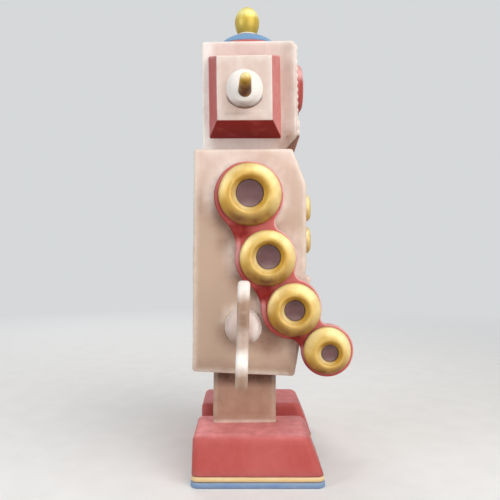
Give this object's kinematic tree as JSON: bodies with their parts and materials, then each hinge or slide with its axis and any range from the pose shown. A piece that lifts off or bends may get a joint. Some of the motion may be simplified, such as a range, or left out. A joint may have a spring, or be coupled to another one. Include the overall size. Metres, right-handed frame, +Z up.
{
  "type": "wind-up toy robot",
  "caption": "Boxy wind-up toy robot with ringed arms, block feet, ear rods, a domed crown and a butterfly key in its side.",
  "frame": {"origin": "on the floor, midway between the two soles under the middle of the body", "axes": "+X the way the robot faces, +Y to its left, +Z up"},
  "size_m": [0.081, 0.1475, 0.253],
  "materials": {
    "cream_paint": "satin",
    "red_paint": "satin",
    "gold_paint": "satin",
    "blue_paint": "satin",
    "mauve_paint": "satin",
    "brown_paint": "satin",
    "white_paint": "satin",
    "buff_paint": "satin",
    "blue_rubber": "matt",
    "eye_white": "gloss",
    "brass": "brushed",
    "steel": "brushed"
  },
  "bodies": {
    "trunk": {"body_shell": "cream_paint", "rear_cover": "cream_paint", "base_plate": "cream_paint", "casing_screws": "steel", "chest_panel": "cream_paint", "dial_bezels": "gold_paint", "dial_faces": "mauve_paint", "key_boss": "cream_paint", "neck_tube": "steel", "neck_clip": "steel", "shoulder_bushes": "brass", "hip_axle": "steel", "motor_plate_right": "brass", "motor_plate_left": "brass", "motor_pillars": "steel", "mainspring": "steel"},
    "key": {"key": "cream_paint", "winding_arbor": "steel", "ratchet_wheel": "steel"},
    "great_wheel": {"great_wheel": "brass", "click": "steel"},
    "crank_shaft": {"crank_arbor": "steel", "drive_wheel": "brass", "leg_cranks": "steel"},
    "third_shaft": {"third_arbor": "steel", "third_wheel": "brass"},
    "governor": {"governor_arbor": "steel", "governor_fan": "brass"},
    "head": {"head_shell": "cream_paint", "head_floor": "cream_paint", "face_plate": "cream_paint", "face_rivets": "white_paint", "eye_rims": "red_paint", "eye_lenses": "eye_white", "mouth_grille": "cream_paint", "jaw": "brown_paint", "ear_blocks": "red_paint", "ear_domes": "white_paint", "ear_rods": "gold_paint", "crown_band": "red_paint", "crown_cap": "blue_paint", "finial_collar": "white_paint", "finial": "gold_paint"},
    "arm_right": {"arm_right": "red_paint", "arm_rings_right": "gold_paint", "arm_discs_right": "mauve_paint", "shoulder_pin_right": "steel"},
    "arm_left": {"arm_left": "red_paint", "arm_rings_left": "gold_paint", "arm_discs_left": "mauve_paint", "shoulder_pin_left": "steel"},
    "leg_right": {"leg_right": "cream_paint", "foot_shell_right": "red_paint", "foot_trim_right": "buff_paint", "foot_sole_right": "blue_rubber"},
    "leg_left": {"leg_left": "cream_paint", "foot_shell_left": "red_paint", "foot_trim_left": "buff_paint", "foot_sole_left": "blue_rubber"}
  },
  "joints": [
    {"name": "head_turn", "type": "hinge", "parent": "trunk", "child": "head", "pos_m": [0, 0, 0.16615], "axis": [0, 0, 1], "range_deg": [-60, 60]},
    {"name": "arm_right_swing", "type": "hinge", "parent": "trunk", "child": "arm_right", "pos_m": [0.0002, -0.044, 0.1432], "axis": [0, -1, 0], "range_deg": [0, 80]},
    {"name": "arm_left_swing", "type": "hinge", "parent": "trunk", "child": "arm_left", "pos_m": [0.0002, 0.044, 0.1432], "axis": [0, -1, 0], "range_deg": [0, 93]},
    {"name": "leg_right_swing", "type": "hinge", "parent": "trunk", "child": "leg_right", "pos_m": [-0.0026, -0.019, 0.061], "axis": [0, -1, 0], "range_deg": [-7, 7]},
    {"name": "leg_left_swing", "type": "hinge", "parent": "trunk", "child": "leg_left", "pos_m": [-0.0026, 0.019, 0.061], "axis": [0, -1, 0], "range_deg": [-7, 7]},
    {"name": "key_wind", "type": "hinge", "parent": "trunk", "child": "key", "pos_m": [-0.0033, -0.05, 0.0772], "axis": [0, -1, 0], "continuous": true, "deforming": ["mainspring"]},
    {"name": "great_wheel_turn", "type": "hinge", "parent": "trunk", "child": "great_wheel", "pos_m": [-0.0033, -0.007, 0.0772], "axis": [0, -1, 0], "continuous": true},
    {"name": "crank_turn", "type": "hinge", "parent": "trunk", "child": "crank_shaft", "pos_m": [0.01206, 0, 0.08234], "axis": [0, -1, 0], "continuous": true},
    {"name": "third_turn", "type": "hinge", "parent": "trunk", "child": "third_shaft", "pos_m": [0.00319, 0, 0.09291], "axis": [0, -1, 0], "continuous": true},
    {"name": "governor_turn", "type": "hinge", "parent": "trunk", "child": "governor", "pos_m": [-0.0052, 0, 0.09879], "axis": [0, -1, 0], "continuous": true}
  ],
  "couplings": [
    {"joint": "leg_left_swing", "follows": "leg_right_swing", "ratio": -1},
    {"joint": "crank_turn", "follows": "great_wheel_turn", "ratio": -4.4},
    {"joint": "third_turn", "follows": "great_wheel_turn", "ratio": 15.84},
    {"joint": "governor_turn", "follows": "great_wheel_turn", "ratio": -56.32}
  ]
}
